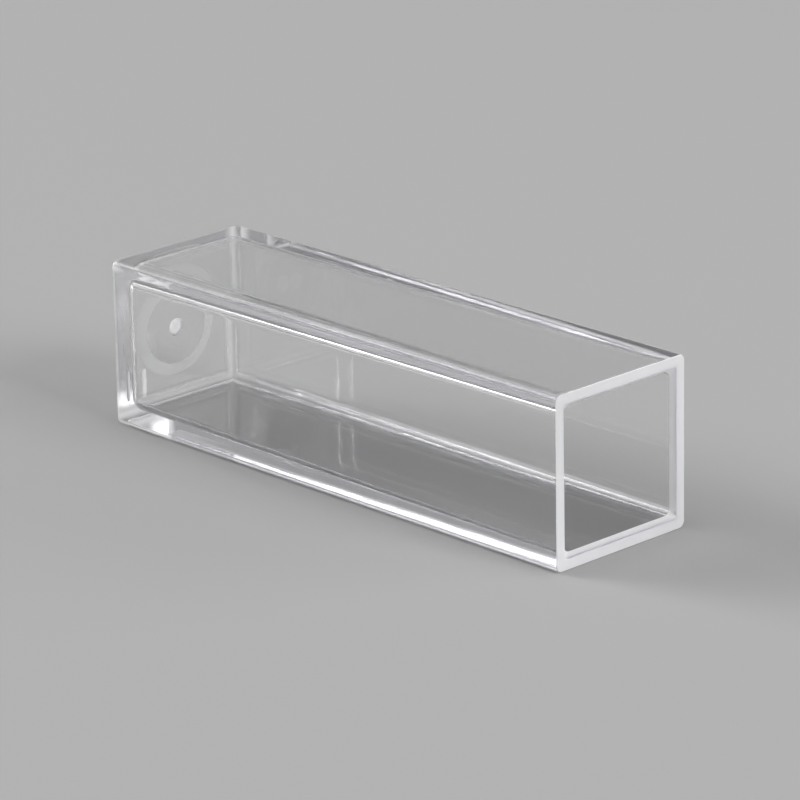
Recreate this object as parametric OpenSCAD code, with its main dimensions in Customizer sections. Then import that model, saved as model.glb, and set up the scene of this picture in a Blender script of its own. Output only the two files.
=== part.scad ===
// Square cuvette for a spectrophotometer or fluorimeter, moulded in one piece
// of clear plastic. It lies on one of its four windows, with its mouth to +X.
// Millimetres, with the origin under the middle of the window that it lies on.

/* [Outside] */
// Length from the closed end to the mouth
length = 45; // [30:0.5:60]
// Outside width of each of the four windows
outer_w = 12.5; // [10:0.1:20]
// Radius of the long edges and of the edges round the closed end
edge_r = 0.5; // [0.2:0.05:0.7]

/* [Cavity] */
// Wall at the mouth, just inside the lead-in
mouth_wall = 1.1; // [0.9:0.01:1.6]
// Draft of each cavity wall, in degrees, which narrows the cavity to its floor
core_draft = 0.2; // [0.1:0.01:0.5]
// Thickness of the floor at the closed end
floor_t = 1.1; // [0.9:0.05:2]
// Radius of the cavity's corners at its floor
foot_r = 0.9; // [0.5:0.05:1.5]
// Radius that its long corners narrow to at the mouth
core_r = 0.5; // [0.3:0.05:1]

/* [Mouth] */
// How far the lead-in opens each wall at the end face
lead_in = 0.28; // [0.1:0.01:0.35]
// How deep the lead-in reaches
lead_depth = 0.4; // [0.2:0.05:1]
// Radius of the lead-in's corners at the end face
lead_r = 0.3; // [0.1:0.05:0.6]

/* [Gate] */
// Width of the flat land between the round recess and each window
land_w = 2.55; // [2.1:0.05:3.2]
// Depth of the recess
recess_depth = 0.3; // [0.2:0.05:0.5]
// Width of the recess's sloping rim
recess_rim = 0.95; // [0.2:0.05:1.1]
// Diameter of the gate's stub in the recess
gate_d = 1.3; // [1:0.1:2.5]
// How far the gate's stub stays below the closed end
gate_sunk = 0.1; // [0.05:0.01:0.15]
// Diameter of the broken top of the stub
gate_top_d = 1; // [0.5:0.1:1.2]

/* [Mould mark] */
// Length of the plain bar sunk in the closed end
mark_len = 2.4; // [1:0.1:3]
// Width of the bar
mark_w = 0.5; // [0.3:0.05:0.6]
// Depth of the bar
mark_depth = 0.15; // [0.05:0.01:0.3]
// Distance from the bar's middle to the nearest upright window
mark_in = 3.1; // [1.2:0.05:4]
// Gap that the bar's nearest end keeps from the recess
mark_gap = 0.23; // [0.1:0.01:0.4]

/* [Hidden] */
// Cutters run this far past the faces that they open
overrun = 1;
// Thickness of a section that a loft starts or ends with
slice = 0.01;
// Segments in a full turn of a lofted corner, and of a true round
loft_fn = 32;
round_fn = 96;

// Diameter of the round recess that keeps the gate clear of the closed end
recess_d = outer_w - 2 * land_w;

// How far the bar lies to one side of the closed end's middle
mark_side = outer_w / 2 - mark_in;
// How far the centre of its nearest round end lies from that middle, clear of the recess
mark_clear = recess_d / 2 + mark_gap + mark_w / 2;
// How far below the middle that puts this centre
mark_down = sqrt(max(mark_clear * mark_clear - mark_side * mark_side, 0));

// Inside width of the cavity at a height above the closed end
function core_w(height) = outer_w - 2 * mouth_wall - 2 * (length - height) * tan(core_draft);

// Repeats its child at the four corners of a square, each turned to face outwards
module at_corners(spread)
    for (quarter = [0:3])
        rotate(90 * quarter)
            translate([spread, spread, 0])
                children();

// Square outline with rounded corners
module rounded_square(width, radius) {
    square([width, width - 2 * radius], center = true);
    square([width - 2 * radius, width], center = true);
    at_corners(width / 2 - radius) circle(radius, $fn = round_fn);
}

// Straight stretch of a square with rounded corners, which a hull joins to the next
module loft_section(height, width, radius, thickness = slice)
    translate([0, 0, height])
        at_corners(width / 2 - radius)
            cylinder(r = radius, h = thickness, $fn = loft_fn);

// Outline of the outside from any window: round at the closed end, square at the mouth
module side_outline() {
    translate([-outer_w / 2, edge_r]) square([outer_w, length - edge_r]);
    translate([edge_r - outer_w / 2, 0]) square([outer_w - 2 * edge_r, length]);
    for (side = [-1, 1])
        translate([side * (outer_w / 2 - edge_r), edge_r]) circle(edge_r, $fn = round_fn);
}

// The outside stands where its three outlines meet
module outside()
    intersection() {
        linear_extrude(length) rounded_square(outer_w, edge_r);
        for (turn = [0, 90])
            rotate([90, 0, turn])
                linear_extrude(outer_w + 2 * overrun, center = true)
                    side_outline();
    }

// One lower corner of the core, rounded towards the floor and the two walls
module core_foot()
    translate([0, 0, floor_t])
        rotate_extrude($fn = loft_fn)
            intersection() {
                translate([0, foot_r]) circle(foot_r, $fn = loft_fn);
                square([foot_r, foot_r]);
            }

// The steel core that forms the cavity, with draft on its four sides
module core()
    hull() {
        at_corners(core_w(floor_t + foot_r) / 2 - foot_r) core_foot();
        loft_section(length + overrun, core_w(length + overrun), core_r);
    }

// The short slope that opens the mouth for a pipette, a stirrer or a stopper. It
// starts as far inside the core as it ends outside it, so that the two cross cleanly.
module mouth_lead_in()
    hull() {
        loft_section(length - 2 * lead_depth, core_w(length) - 2 * lead_in, max(2 * core_r - lead_r, slice));
        loft_section(length, core_w(length) + 2 * lead_in, lead_r, overrun);
    }

// The round recess in the closed end, with the gate's stub left standing in it
module gate_recess()
    rotate_extrude($fn = round_fn)
        polygon([
            [0, -overrun],
            [recess_d / 2, -overrun],
            [recess_d / 2, 0],
            [recess_d / 2 - recess_rim, recess_depth],
            [gate_d / 2, recess_depth],
            [gate_top_d / 2, gate_sunk],
            [0, gate_sunk]
        ]);

// A plain bar with round ends, where a mould has its cavity mark
module mould_mark() {
    reach = (mark_len - mark_w) / 2;
    translate([mark_down + reach, -mark_side, -overrun])
        linear_extrude(overrun + mark_depth) {
            square([2 * reach, mark_w], center = true);
            for (side = [-1, 1])
                translate([side * reach, 0]) circle(d = mark_w, $fn = round_fn);
        }
}

// Lays an upright cuvette on its side, with its mouth to +X
module laid_down()
    translate([-length / 2, 0, outer_w / 2])
        rotate([0, 90, 0])
            children();

module cuvette()
    color("lightcyan", 0.4)
        laid_down()
            difference() {
                outside();
                core();
                mouth_lead_in();
                gate_recess();
                mould_mark();
            }

cuvette();
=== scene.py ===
"""Looks for a square cuvette, moulded in one piece of clear plastic, that lies on one of its windows.

The frame gives its length, width and place. This script models the moulding again with smooth
normals, fine edges and a broken gate, gives it its clear plastic, and sets the stage.
Lengths are in metres, and +X runs from the closed end to the mouth.
"""

import math

import bmesh
import bpy
from mathutils import Matrix, Vector, noise


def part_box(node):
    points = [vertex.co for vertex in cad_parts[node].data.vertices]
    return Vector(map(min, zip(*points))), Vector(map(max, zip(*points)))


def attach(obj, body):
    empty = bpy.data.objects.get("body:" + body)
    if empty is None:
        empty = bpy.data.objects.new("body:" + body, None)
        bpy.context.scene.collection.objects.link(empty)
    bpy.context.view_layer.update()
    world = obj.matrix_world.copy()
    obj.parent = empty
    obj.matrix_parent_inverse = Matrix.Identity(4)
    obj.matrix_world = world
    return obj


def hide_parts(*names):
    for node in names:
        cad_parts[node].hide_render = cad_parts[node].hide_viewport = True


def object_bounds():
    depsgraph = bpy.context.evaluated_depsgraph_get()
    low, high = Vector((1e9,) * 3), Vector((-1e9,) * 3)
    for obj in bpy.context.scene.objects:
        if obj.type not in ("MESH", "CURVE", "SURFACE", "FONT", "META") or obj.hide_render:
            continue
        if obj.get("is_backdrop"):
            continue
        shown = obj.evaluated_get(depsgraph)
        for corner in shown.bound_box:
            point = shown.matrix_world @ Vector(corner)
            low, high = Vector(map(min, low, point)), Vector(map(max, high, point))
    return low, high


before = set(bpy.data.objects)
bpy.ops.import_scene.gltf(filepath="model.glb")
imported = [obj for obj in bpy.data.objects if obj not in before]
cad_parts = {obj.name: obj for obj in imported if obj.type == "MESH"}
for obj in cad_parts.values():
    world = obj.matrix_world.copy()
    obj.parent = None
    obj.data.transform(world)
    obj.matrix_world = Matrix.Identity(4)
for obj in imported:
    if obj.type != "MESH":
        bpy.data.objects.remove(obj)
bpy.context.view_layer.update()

MM = 0.001

# The moulding's own sizes, as its CAD source has them
EDGE_R = 0.5 * MM
MOUTH_WALL = 1.1 * MM
CORE_DRAFT = math.radians(0.2)
FLOOR_T = 1.1 * MM
FOOT_R = 0.9 * MM
CORE_R = 0.5 * MM
LEAD_IN = 0.28 * MM
LEAD_DEPTH = 0.4 * MM
LEAD_R = 0.3 * MM
LAND_W = 2.55 * MM
RECESS_DEPTH = 0.3 * MM
RECESS_RIM = 0.95 * MM
GATE_R = 0.65 * MM
GATE_TOP_R = 0.5 * MM
GATE_SUNK = 0.1 * MM
MARK_LEN = 2.4 * MM
MARK_W = 0.5 * MM
MARK_DEPTH = 0.15 * MM
MARK_IN = 3.1 * MM
MARK_GAP = 0.23 * MM

# Fine shape that only the looks need
MOUTH_EDGE_R = 0.07 * MM
GATE_ROUGH = 0.06 * MM
GATE_GRAIN = 0.25 * MM
# Steps down into the mark: how far each goes in, as a share of its width, and down, of its depth
MARK_SIDES = ((0.1, 0.75), (0.25, 0.25))
# Rings of the gate's broken top, as shares of its radius
GATE_RINGS = (1, 0.8, 0.6, 0.4, 0.2, 0)

# Steps in a quarter turn of a rounding, and of a fine edge
ARC_STEPS = 12
FINE_STEPS = 4
# Steps in a whole turn of the recess, and of the mark's round ends
ROUND_STEPS = 96
MARK_STEPS = 24
# Points closer than this are one
MERGE = 0.0002 * MM
# The least radius of a corner, so that its points stay apart
POINT_R = 0.01 * MM
# Faces that turn by more than this meet in a sharp edge
SHARP = math.radians(28)

low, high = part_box("cuvette")
WIDTH = high[1] - low[1]
CLOSED_X, MOUTH_X = low[0], high[0]
AXIS = Vector((0, (low[1] + high[1]) / 2, (low[2] + high[2]) / 2))
# The mark's place from the middle of the closed end: to one side, and down, clear of the recess
MARK_Y = MARK_IN - WIDTH / 2
MARK_REACH = (MARK_LEN - MARK_W) / 2
MARK_Z = -MARK_REACH - math.sqrt((WIDTH / 2 - LAND_W + MARK_GAP + MARK_W / 2) ** 2 - MARK_Y**2)
ACROSS = Matrix.Rotation(math.pi / 2, 4, "Y")


# ------------------------------------------------------------------ the moulding


def core_width(x):
    """Width of the cavity between its walls at x, before the lead-in opens it."""
    return WIDTH - 2 * MOUTH_WALL - 2 * (MOUTH_X - x) * math.tan(CORE_DRAFT)


def quarter(steps):
    """Sine and cosine at even steps from 0 to 90 degrees."""
    turns = [math.pi / 2 * i / steps for i in range(steps + 1)]
    return [(math.sin(turn), math.cos(turn)) for turn in turns]


def outside_stations():
    """(x, width, corner radius) of the outside, from the closed end's face to the mouth's face."""
    for sin, cos in quarter(ARC_STEPS):
        yield CLOSED_X + EDGE_R * (1 - cos), WIDTH - 2 * EDGE_R * (1 - sin), max(EDGE_R * sin, POINT_R)
    for sin, cos in quarter(FINE_STEPS):
        inset = MOUTH_EDGE_R * (1 - cos)
        yield MOUTH_X - MOUTH_EDGE_R * (1 - sin), WIDTH - 2 * inset, EDGE_R - inset


def cavity_stations():
    """(x, width, corner radius) of the cavity, from the mouth's face to the floor."""
    mouth_w = core_width(MOUTH_X) + 2 * LEAD_IN
    for sin, cos in reversed(quarter(FINE_STEPS)):
        inset = MOUTH_EDGE_R * (1 - cos)
        yield MOUTH_X - MOUTH_EDGE_R * (1 - sin), mouth_w + 2 * inset, LEAD_R + inset
    lead_end = MOUTH_X - LEAD_DEPTH
    yield lead_end, core_width(lead_end), CORE_R
    floor_x = CLOSED_X + FLOOR_T
    foot_w = core_width(floor_x + FOOT_R)
    for sin, cos in quarter(ARC_STEPS):
        yield floor_x + FOOT_R * (1 - sin), foot_w - 2 * FOOT_R * (1 - cos), max(FOOT_R * cos, POINT_R)


def square_ring(bm, x, width, radius):
    """Edges of a rounded square that lies across the length at x."""
    place = Matrix.Translation(AXIS + Vector((x, 0, 0))) @ ACROSS
    made = bmesh.ops.create_grid(bm, x_segments=1, y_segments=1, size=width / 2, matrix=place)
    rounded = bmesh.ops.bevel(
        bm,
        geom=made["verts"],
        offset=radius,
        offset_type="OFFSET",
        segments=ARC_STEPS,
        profile=0.5,
        affect="VERTICES",
        material=-1,
    )
    face = rounded["verts"][0].link_faces[0]
    edges = face.edges[:]
    bmesh.ops.delete(bm, geom=[face], context="FACES_ONLY")
    return edges


def walls(bm, stations):
    """Walls through square rings at the stations. Returns the edges of the last ring."""
    rings = [square_ring(bm, *station) for station in stations]
    for ring, following in zip(rings, rings[1:]):
        bmesh.ops.bridge_loops(bm, edges=ring + following)
    return rings[-1]


def gate_recess(bm):
    """The round recess, spun from its profile, with the broken gate standing in it."""
    bottom = CLOSED_X + RECESS_DEPTH
    top = CLOSED_X + GATE_SUNK
    recess_r = WIDTH / 2 - LAND_W
    profile = [(CLOSED_X, recess_r), (bottom, recess_r - RECESS_RIM), (bottom, GATE_R)]
    profile += [(top, GATE_TOP_R * share) for share in GATE_RINGS]
    points = [bm.verts.new(AXIS + Vector((x, radius, 0))) for x, radius in profile]
    sweep = [bm.edges.new(pair) for pair in zip(points, points[1:])]
    full_turn = {"axis": (1, 0, 0), "angle": 2 * math.pi, "steps": ROUND_STEPS, "use_merge": True}
    bmesh.ops.spin(bm, geom=points + sweep, cent=AXIS, **full_turn)
    bmesh.ops.remove_doubles(bm, verts=bm.verts, dist=MERGE)
    for vert in bm.verts:
        if (vert.co - AXIS).yz.length < 1.01 * GATE_TOP_R and abs(vert.co.x - top) < MERGE:
            vert.co.x += GATE_ROUGH * noise.noise(vert.co / GATE_GRAIN)


def mould_mark(bm):
    """The plain sunk bar: a circle pulled apart into a slot, then stepped down into the closed end."""
    centre = AXIS + Vector((CLOSED_X, MARK_Y, MARK_Z))
    place = Matrix.Translation(centre) @ ACROSS @ Matrix.Rotation(math.pi / MARK_STEPS, 4, "Z")
    made = bmesh.ops.create_circle(bm, cap_ends=True, segments=MARK_STEPS, radius=MARK_W / 2, matrix=place)
    for vert in made["verts"]:
        vert.co.z += math.copysign(MARK_REACH, vert.co.z - centre.z)
    face = made["verts"][0].link_faces[0]
    for inset, sink in MARK_SIDES:
        bmesh.ops.inset_individual(bm, faces=[face], thickness=inset * MARK_W, use_even_offset=True)
        bmesh.ops.translate(bm, verts=face.verts, vec=(sink * MARK_DEPTH, 0, 0))


def flat_ends(bm):
    """The mouth's face between its two rings, and the closed end's face round its recess and mark."""
    open_edges = [edge for edge in bm.edges if edge.is_boundary]
    for side in (-1, 1):
        rims = [edge for edge in open_edges if edge.verts[0].co.x * side > 0]
        bmesh.ops.triangle_fill(bm, use_beauty=True, use_dissolve=False, edges=rims)


def model_moulding():
    """The whole moulding as one closed mesh, from the recess round the outside into the cavity."""
    bm = bmesh.new()
    gate_recess(bm)
    mould_mark(bm)
    walls(bm, outside_stations())
    floor_rim = walls(bm, cavity_stations())
    bmesh.ops.contextual_create(bm, geom=floor_rim)
    flat_ends(bm)
    bmesh.ops.recalc_face_normals(bm, faces=bm.faces)
    for face in bm.faces:
        face.smooth = True
    mesh = bpy.data.meshes.new("moulding")
    bm.to_mesh(mesh)
    bm.free()
    mesh.set_sharp_from_angle(angle=SHARP)
    body = bpy.data.objects.new("moulding", mesh)
    bpy.context.scene.collection.objects.link(body)
    even = body.modifiers.new("even windows", "WEIGHTED_NORMAL")
    even.mode = "FACE_AREA"
    even.keep_sharp = True
    return body


# ------------------------------------------------------------------ the clear plastic

# Clear polystyrene
IOR = 1.59
TINT = (0.93, 0.93, 0.985, 1)
TINT_DENSITY = 40.0
# Scattering white skin on top of it, which is mostly painted glow and painted highlight
FROST_AND_GLOW_WHITE = (0.96, 0.96, 0.965, 1)
# Roughness of a window, of a satin face and of the frost
POLISHED, SATIN, FROSTED = 0.01, 0.35, 0.5
# Share of the frost that lets light through, at the closed end and at the mouth
SHOWS_CLOSED, SHOWS_MOUTH = 0.75, 0.2

# Zone edges: half the width over which each fades, and where the wider ones start
FADE = 0.01 * MM
CREASE, CREASE_FADE = 0.08 * MM, 0.03 * MM
LEAD_INSET = 0.3 * MM
SKIN, SKIN_FADE = 0.2 * MM, 0.15 * MM
MARGIN, MARGIN_FADE = 0.9 * MM, 0.4 * MM
INNER_SKIN = 0.02 * MM
GATE_SKIN, GATE_FADE, GATE_RAGGED = 0.1 * MM, 0.03 * MM, 0.15 * MM
# The painted glow in the corners: full up to a distance from the closed end, then down to what is left
GLOW_FULL, GLOW_END, GLOW_LEFT = 3 * MM, 25 * MM, 0.15
GLOW_CORE = 0.3

# Share of the white skin in each finish: at the mouth, the closed end's margin, the gate, the mark and the
# cavity's corners it is painted glow and painted highlight
MOUTH_FROST_AND_GLOW, CREASE_DROP = 0.82, 0.6
LAND_WHITE, MARGIN_GLOW = 0.07, 0.85
RIM_WHITE, GATE_FROST_AND_HIGHLIGHT, MARK_GLINT, CORNER_GLOW = 0.28, 0.97, 0.8, 0.45

# Relief: size of its lumps, and their height
STREAKS, STREAK_HEIGHT, STREAK_STRETCH = 0.25 * MM, 0.0006 * MM, (0.015, 1, 1)
WAVES, WAVE_HEIGHT = 4 * MM, 0.002 * MM
SPECKLE, SPECKLE_HEIGHT = 0.06 * MM, 0.02 * MM
BREAK, BREAK_HEIGHT = 0.3 * MM, 0.08 * MM


class Number:
    """A shader value. An expression on it adds the Math nodes that work it out."""

    def __init__(self, graph, socket):
        self.graph = graph
        self.socket = socket

    def maths(self, operation, *values):
        return self.graph.node("ShaderNodeMath", {"operation": operation}, dict(enumerate(values)))

    def __add__(self, other):
        return self.maths("ADD", self, other)

    def __radd__(self, other):
        return self.maths("ADD", other, self)

    def __sub__(self, other):
        return self.maths("SUBTRACT", self, other)

    def __rsub__(self, other):
        return self.maths("SUBTRACT", other, self)

    def __mul__(self, other):
        return self.maths("MULTIPLY", self, other)

    def __rmul__(self, other):
        return self.maths("MULTIPLY", other, self)

    def __pow__(self, other):
        return self.maths("POWER", self, other)

    def __abs__(self):
        return self.maths("ABSOLUTE", self)

    def or_more(self, other):
        return self.maths("MAXIMUM", self, other)

    def or_less(self, other):
        return self.maths("MINIMUM", self, other)


class Graph:
    """The shader nodes of a material or of the world."""

    def __init__(self, owner, output="ShaderNodeOutputMaterial"):
        owner.use_nodes = True
        self.owner = owner
        self.tree = owner.node_tree
        self.tree.nodes.clear()
        self.output = self.tree.nodes.new(output)

    def node(self, kind, settings=None, values=None, out=0):
        """Adds a node, sets it up, then sets or links its sockets. Returns one of its outputs."""
        made = self.tree.nodes.new(kind)
        for name, value in (settings or {}).items():
            setattr(made, name, value)
        for name, value in (values or {}).items():
            if isinstance(value, Number):
                self.tree.links.new(value.socket, made.inputs[name])
            else:
                made.inputs[name].default_value = value
        return Number(self, made.outputs[out])

    def ramp(self, value, start, stop, low=0.0, high=1.0):
        """Goes from low, where the value is start, to high, where it is stop, and no further."""
        sockets = {"Value": value, "From Min": start, "From Max": stop, "To Min": low, "To Max": high}
        return self.node("ShaderNodeMapRange", {"clamp": True}, sockets)

    def grain(self, place, size, detail=2.0):
        """Noise from 0 to 1 with lumps of about that size."""
        sockets = {"Vector": place, "Scale": 1 / size, "Detail": detail}
        return self.node("ShaderNodeTexNoise", {"noise_dimensions": "3D"}, sockets)

    def mix(self, share, first, second):
        """The first shader, with that share of the second."""
        return self.node("ShaderNodeMixShader", values={"Fac": share, 1: first, 2: second})

    def end(self, shader, volume=None):
        """Links the finished shader, and what fills the inside. Returns the material or world."""
        self.tree.links.new(shader.socket, self.output.inputs["Surface"])
        if volume:
            self.tree.links.new(volume.socket, self.output.inputs["Volume"])
        return self.owner


class Zones:
    """Where each finish lies on the moulding: shares from 0 to 1, from the place in the row's frame."""

    def __init__(self, graph):
        self.graph = graph
        self.place = graph.node("ShaderNodeTexCoord", out="Object")
        split = graph.node("ShaderNodeSeparateXYZ", values={"Vector": self.place}).socket.node
        self.x, y, z = (Number(graph, split.outputs[axis]) for axis in "XYZ")
        self.y = y - AXIS.y
        self.z = z - AXIS.z
        self.out = abs(self.y).or_more(abs(self.z))
        self.radius = (self.y * self.y + self.z * self.z) ** 0.5

    def within(self, value, limit, fade=FADE):
        """1 where the value is under the limit, 0 where it is over."""
        return self.graph.ramp(value, limit + fade, limit - fade)

    def beyond(self, value, limit, fade=FADE):
        """1 where the value is over the limit, 0 where it is under."""
        return self.graph.ramp(value, limit - fade, limit + fade)

    def mouth_face(self):
        """The flat face of the mouth, with its fine edges, and the lead-in slope."""
        face = self.beyond(self.x, MOUTH_X - MOUTH_EDGE_R / 2)
        lead = self.beyond(self.x, MOUTH_X - LEAD_DEPTH) * self.within(self.out, WIDTH / 2 - LEAD_INSET)
        return face.or_more(lead)

    def mouth_crease(self):
        """The edge between the mouth's face and the lead-in slope, where the painted glow is cut back to a
        clear line.
        """
        edge = core_width(MOUTH_X) / 2 + LEAD_IN + MOUTH_EDGE_R / 2
        return self.within(abs(self.out - edge), CREASE, CREASE_FADE)

    def closed_face(self):
        """The flat land of the closed end, outside the recess, and the start of the round edge about it."""
        skin = self.within(self.x, CLOSED_X + SKIN, SKIN_FADE)
        return skin * self.beyond(self.radius, WIDTH / 2 - LAND_W)

    def margin(self):
        """The outer rim of the closed end, where white is painted on as a glow."""
        return self.beyond(self.out, WIDTH / 2 - MARGIN, MARGIN_FADE)

    def recess_rim(self):
        """The recess's sloping rim."""
        skin = self.within(self.x, CLOSED_X + RECESS_DEPTH - FADE)
        inner = self.beyond(self.radius, WIDTH / 2 - LAND_W - RECESS_RIM)
        return skin * inner * self.within(self.radius, WIDTH / 2 - LAND_W)

    def corner_glow(self):
        """The cavity's rounded corners, where white is painted on as a glow of refracted light: strongest
        round the floor.
        """
        half = core_width(CLOSED_X) / 2
        y_gap, z_gap = half - abs(self.y), half - abs(self.z)
        floor_gap = self.x - (CLOSED_X + FLOOR_T)
        # A point lies in a corner where the second nearest of the two walls and the floor is near too
        nearest = y_gap.or_less(z_gap)
        second = nearest.or_more(y_gap.or_more(z_gap).or_less(floor_gap))
        inside = self.within(self.out, WIDTH / 2 - MOUTH_WALL + INNER_SKIN)
        inside = inside * self.beyond(floor_gap, -INNER_SKIN)
        fade = self.graph.ramp(self.x, CLOSED_X + GLOW_FULL, CLOSED_X + GLOW_END, 1, GLOW_LEFT)
        return inside * fade * self.graph.ramp(second, FOOT_R, GLOW_CORE * FOOT_R)

    def gate(self):
        """The gate's stub, with a ragged foot."""
        skin = self.within(self.x, CLOSED_X + RECESS_DEPTH + GATE_SKIN)
        ragged = self.radius + GATE_RAGGED * (self.graph.grain(self.place, BREAK) - 0.5)
        return skin * self.within(ragged, GATE_R, GATE_FADE)

    def mark(self):
        """The inside of the sunk bar."""
        skin = self.within(self.x, CLOSED_X + MARK_DEPTH + INNER_SKIN)
        along = (abs(self.z - MARK_Z) - MARK_REACH).or_more(0.0)
        across = self.y - MARK_Y
        return skin * self.within((along * along + across * across) ** 0.5, MARK_W / 2)


def clear_plastic():
    """Clear polystyrene: polished windows with a trace of flow, satin end faces and a broken gate, under a
    white skin that is painted glow and painted highlight at the mouth, the closed end's margin, the gate, the
    mark and the cavity's corners.
    """
    graph = Graph(bpy.data.materials.new("clear_plastic"))
    zones = Zones(graph)
    mouth, land, rim, margin = zones.mouth_face(), zones.closed_face(), zones.recess_rim(), zones.margin()
    gate, mark, corner_glow_zone = zones.gate(), zones.mark(), zones.corner_glow()
    satin = mouth + land + rim + gate + mark

    drawn = graph.node("ShaderNodeVectorMath", {"operation": "MULTIPLY"}, {0: zones.place, 1: STREAK_STRETCH})
    height = (
        STREAK_HEIGHT * graph.grain(drawn, STREAKS, 3.0)
        + WAVE_HEIGHT * graph.grain(zones.place, WAVES, 0.0)
        + SPECKLE_HEIGHT * graph.grain(zones.place, SPECKLE) * (mouth + mark + rim)
        + BREAK_HEIGHT * graph.grain(zones.place, BREAK, 4.0) * gate
    )
    relief = graph.node("ShaderNodeBump", values={"Height": height, "Strength": 1.0, "Distance": 1.0})
    clear = graph.node(
        "ShaderNodeBsdfPrincipled",
        values={
            "Base Color": (1, 1, 1, 1),
            "Roughness": graph.ramp(satin, 0, 1, POLISHED, SATIN),
            "IOR": IOR,
            "Transmission Weight": 1.0,
            "Normal": relief,
        },
    )
    frost_and_glow = graph.node(
        "ShaderNodeBsdfPrincipled",
        values={"Base Color": FROST_AND_GLOW_WHITE, "Roughness": FROSTED, "Normal": relief},
    )
    through = graph.node("ShaderNodeBsdfTranslucent", values={"Color": FROST_AND_GLOW_WHITE})
    skin = graph.mix(graph.ramp(mouth, 0, 1, SHOWS_CLOSED, SHOWS_MOUTH), frost_and_glow, through)
    # White skin laid over the clear plastic: painted glow and painted highlight where its shares are large
    frost_and_glow_share = (
        # The mouth's face: a satin finish made white as a painted glow, cut back to a clear line along the
        # inner edge
        mouth * (MOUTH_FROST_AND_GLOW - CREASE_DROP * zones.mouth_crease())
        # The closed end's outer margin: white painted on as a glow
        + land * (LAND_WHITE + margin * MARGIN_GLOW)
        + rim * RIM_WHITE
        # The gate's stub: a frosted break, made whiter still as a painted highlight
        + gate * GATE_FROST_AND_HIGHLIGHT
        # The sunk bar: white painted on as a glint, a painted highlight
        + mark * MARK_GLINT
        # The cavity's corners: white painted on as a glow of refracted light
        + corner_glow_zone * CORNER_GLOW
    )
    tint = graph.node("ShaderNodeVolumeAbsorption", values={"Color": TINT, "Density": TINT_DENSITY})
    return graph.end(graph.mix(frost_and_glow_share, clear, skin), tint)


# ------------------------------------------------------------------ the stage

FLOOR_GREY = (0.45, 0.45, 0.45, 1)
# The grey that the floor has in the stage's light
BACKDROP_GREY = (0.48, 0.48, 0.48, 1)
# Where the floor's paint starts to give way to the backdrop, and where it is gone
SWEEP_START, SWEEP_END = 0.15, 0.7
FLOOR_GAP = 0.03 * MM
FLOOR_HALF = 8
# The room above, and the heights between which the backdrop darkens into it, on a sphere of radius 1
ROOM_GREY = 0.22
ROOM_START, ROOM_FULL = 0.08, 0.5
LAMP_DISTANCE = 2
# Azimuth from +X and elevation in degrees, width and height, and radiance
LAMPS = {
    "left box": (200, 16, (0.8, 0.8), 9),
    "edge box": (210, 38, (1, 0.9), 3.5),
    "mouth box": (6, 28, (0.9, 0.8), 8),
    "right box": (46, 18, (1.2, 0.8), 3),
    "top box": (180, 90, (0.8, 0.8), 4.5),
}
# Light goes through many walls of the clear plastic
BOUNCES = 48


def matte_floor():
    """Plain grey paint near the cuvette, which fades further out into the backdrop's grey."""
    graph = Graph(bpy.data.materials.new("floor"))
    paint = graph.node("ShaderNodeBsdfDiffuse", values={"Color": FLOOR_GREY})
    sweep = graph.node("ShaderNodeEmission", values={"Color": BACKDROP_GREY, "Strength": 1.0})
    place = graph.node("ShaderNodeTexCoord", out="Object")
    away = graph.node("ShaderNodeVectorMath", {"operation": "LENGTH"}, {0: place}, out="Value")
    return graph.end(graph.mix(graph.ramp(away, SWEEP_START, SWEEP_END), paint, sweep))


def floor():
    """Stands a hair below the window that rests on it, so that the two faces don't share a plane."""
    bm = bmesh.new()
    place = Matrix.Translation((0, 0, low[2] - FLOOR_GAP))
    bmesh.ops.create_grid(bm, x_segments=1, y_segments=1, size=FLOOR_HALF, matrix=place)
    mesh = bpy.data.meshes.new("floor")
    bm.to_mesh(mesh)
    bm.free()
    made = bpy.data.objects.new("floor", mesh)
    bpy.context.scene.collection.objects.link(made)
    mesh.materials.append(matte_floor())
    made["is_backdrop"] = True


def soft_lamp(name, azimuth, elevation, size, radiance):
    """A lamp that faces the cuvette. Radiance 1 looks as bright as white in full light."""
    azimuth, elevation = math.radians(azimuth), math.radians(elevation)
    data = bpy.data.lights.new(name, "AREA")
    data.shape = "RECTANGLE"
    data.size, data.size_y = size
    data.energy = radiance * math.pi * size[0] * size[1]
    lamp = bpy.data.objects.new(name, data)
    flat = LAMP_DISTANCE * math.cos(elevation)
    toward = Vector((flat * math.cos(azimuth), flat * math.sin(azimuth), LAMP_DISTANCE * math.sin(elevation)))
    lamp.location = AXIS + toward
    lamp.rotation_euler = toward.to_track_quat("Z", "Y").to_euler()
    lamp.visible_camera = False
    bpy.context.scene.collection.objects.link(lamp)


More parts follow.
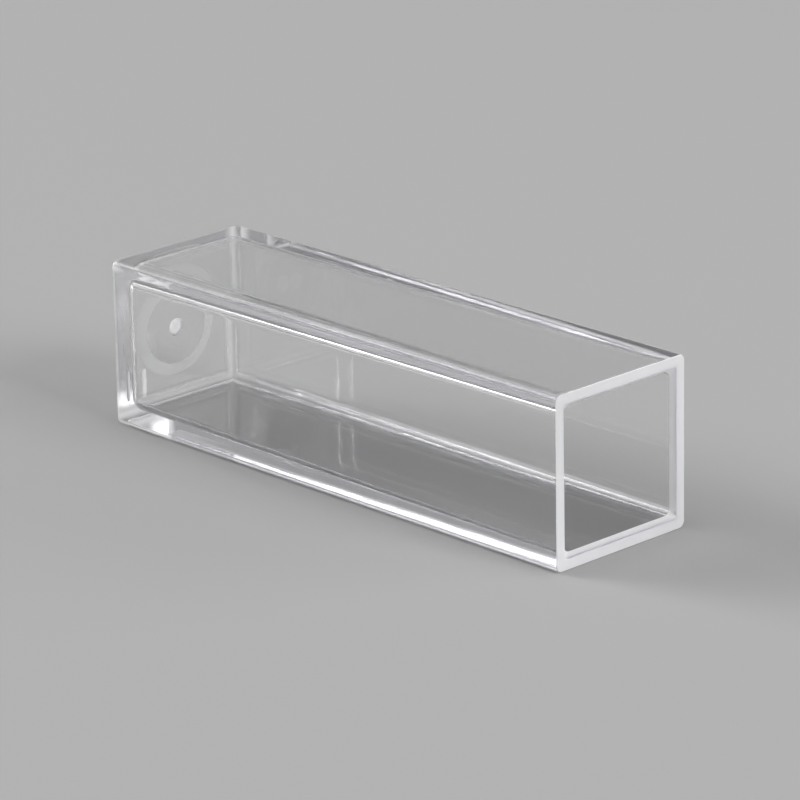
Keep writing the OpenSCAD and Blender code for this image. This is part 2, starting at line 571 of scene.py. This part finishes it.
def studio_dome():
    """A world with the backdrop's grey at the horizon, so that none shows, and a darker room above."""
    made = bpy.data.worlds.new("studio")
    bpy.context.scene.world = made
    graph = Graph(made, "ShaderNodeOutputWorld")
    way = graph.node("ShaderNodeTexCoord", out="Generated")
    height = graph.node("ShaderNodeSeparateXYZ", values={"Vector": way}, out="Z")
    grey = graph.ramp(height, ROOM_START, ROOM_FULL, BACKDROP_GREY[0], ROOM_GREY)
    graph.end(graph.node("ShaderNodeBackground", values={"Color": (1, 1, 1, 1), "Strength": grey}))


# ------------------------------------------------------------------ the camera

AZIMUTH, ELEVATION, ROLL = math.radians(46.35), math.radians(18.83), math.radians(-1.08)
DISTANCE = 336.6 * MM
# How far the camera slides off the line through the cuvette's middle, to the right and up
SLIDE = Vector((0.80 * MM, -0.74 * MM))
# Focal length for a frame 1 wide, and the sensor's width in millimetres
FOCAL_LENGTH_PER_FRAME = 5.987
SENSOR = 36.0


def camera():
    """A long lens that looks down at the near window and the mouth, rolled by a degree."""
    back = Vector((
        math.sin(AZIMUTH) * math.cos(ELEVATION),
        -math.cos(AZIMUTH) * math.cos(ELEVATION),
        math.sin(ELEVATION),
    ))
    level = Vector((math.cos(AZIMUTH), math.sin(AZIMUTH), 0))
    turned = Matrix.Rotation(ROLL, 3, back)
    right = turned @ level
    up = back.cross(right)
    data = bpy.data.cameras.new("camera")
    data.sensor_width = SENSOR
    data.lens = SENSOR * FOCAL_LENGTH_PER_FRAME
    data.clip_start = 0.01
    made = bpy.data.objects.new("camera", data)
    bpy.context.scene.collection.objects.link(made)
    place = AXIS + back * DISTANCE + right * SLIDE.x + up * SLIDE.y
    made.matrix_world = Matrix.Translation(place) @ Matrix((right, up, back)).transposed().to_4x4()
    bpy.context.scene.camera = made


# ------------------------------------------------------------------ all together

camera()
body = model_moulding()
body.data.materials.append(clear_plastic())
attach(body, "root")
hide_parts("cuvette")

floor()
for name, lamp in LAMPS.items():
    soft_lamp(name, *lamp)
studio_dome()
bpy.context.scene.view_settings.view_transform = "Standard"
for limit in ("max_bounces", "glossy_bounces", "transmission_bounces"):
    setattr(bpy.context.scene.cycles, limit, BOUNCES)

low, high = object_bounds()
